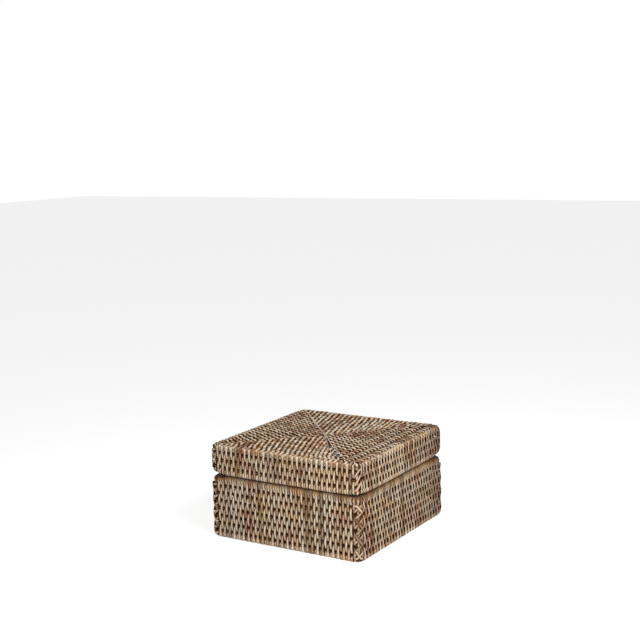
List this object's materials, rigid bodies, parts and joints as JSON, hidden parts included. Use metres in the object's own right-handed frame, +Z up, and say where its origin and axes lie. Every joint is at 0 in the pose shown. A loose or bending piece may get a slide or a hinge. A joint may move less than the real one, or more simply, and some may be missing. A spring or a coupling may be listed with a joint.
{
  "type": "storage box",
  "caption": "Square woven rattan storage box with a flush lift-off lid, mitred woven panels, rounded rims and cross-laced corners.",
  "frame": {"origin": "middle of the base's underside, on the surface that the box stands on", "axes": "+Z up through the lid, -Y towards the front, +X to the right, square to the box's sides"},
  "size_m": [0.2, 0.2, 0.11],
  "materials": {
    "woven_strands": "matt, greyed and antiqued flat rattan, with reddish-brown patches",
    "lacing_strands": "matt, paler flat rattan",
    "round_rods": "dark brown stained round rattan, matt",
    "poles": "brown stained rattan pole, matt"
  },
  "bodies": {
    "base": {"base_foot_rod": "round_rods", "base_rim_pole": "poles", "base_hoop_1": "round_rods", "base_hoop_2": "round_rods", "base_hoop_3": "round_rods", "base_hoop_4": "round_rods", "base_hoop_5": "round_rods", "base_hoop_6": "round_rods", "base_hoop_7": "round_rods", "floor_rod_1": "round_rods", "floor_rod_2": "round_rods", "floor_rod_3": "round_rods", "floor_rod_4": "round_rods", "floor_rod_5": "round_rods", "floor_rod_6": "round_rods", "floor_rod_7": "round_rods", "floor_rod_8": "round_rods", "floor_rod_9": "round_rods", "floor_rod_10": "round_rods", "floor_diagonal_lacing": "lacing_strands", "base_weave_right": "woven_strands", "base_weave_back": "woven_strands", "base_weave_left": "woven_strands", "base_weave_front": "woven_strands", "base_corner_lacing_back_right": "lacing_strands", "base_corner_lacing_back_left": "lacing_strands", "base_corner_lacing_front_left": "lacing_strands", "base_corner_lacing_front_right": "lacing_strands", "corner_post_back_right": "poles", "corner_post_back_left": "poles", "corner_post_front_left": "poles", "corner_post_front_right": "poles", "neck_band": "woven_strands", "neck_hoop_lower": "round_rods", "neck_hoop_upper": "round_rods"},
    "lid": {"lid_edge_rod": "round_rods", "lid_rim_pole": "poles", "lid_hoop_1": "round_rods", "lid_hoop_2": "round_rods", "lid_hoop_3": "round_rods", "lid_rod_1": "round_rods", "lid_rod_2": "round_rods", "lid_rod_3": "round_rods", "lid_rod_4": "round_rods", "lid_rod_5": "round_rods", "lid_rod_6": "round_rods", "lid_rod_7": "round_rods", "lid_rod_8": "round_rods", "lid_rod_9": "round_rods", "lid_rod_10": "round_rods", "lid_diagonal_lacing": "lacing_strands", "lid_weave_right": "woven_strands", "lid_weave_back": "woven_strands", "lid_weave_left": "woven_strands", "lid_weave_front": "woven_strands", "lid_corner_lacing_back_right": "lacing_strands", "lid_corner_lacing_back_left": "lacing_strands", "lid_corner_lacing_front_left": "lacing_strands", "lid_corner_lacing_front_right": "lacing_strands"}
  },
  "joints": [
    {"name": "lid_lift", "type": "slide", "parent": "base", "child": "lid", "axis": [0, 0, 1], "range_m": [0, 0.12]}
  ]
}
